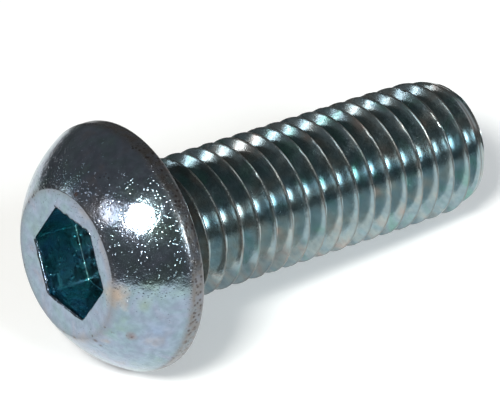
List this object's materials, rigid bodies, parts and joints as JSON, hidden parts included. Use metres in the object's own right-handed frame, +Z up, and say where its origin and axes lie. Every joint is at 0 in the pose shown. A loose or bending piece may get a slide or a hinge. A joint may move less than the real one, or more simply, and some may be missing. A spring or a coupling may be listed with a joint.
{
  "type": "button head screw",
  "caption": "Domed button head screw with a hexagon socket and a coarse metric thread along its shank, lying on its side.",
  "frame": {"origin": "centre of the bearing face under the head, on the screw's axis", "axes": "+Z up as the screw lies on a level floor; +X level, from the head towards the tip; the screw's own axis falls towards the tip by 7.9 degrees"},
  "size_m": [0.0418, 0.021, 0.0209],
  "materials": {
    "zinc_plated_steel": "electroplated zinc with a clear blue passivation, over cold-formed steel"
  },
  "bodies": {
    "root": {"button_head_screw": "zinc_plated_steel"}
  },
  "joints": []
}
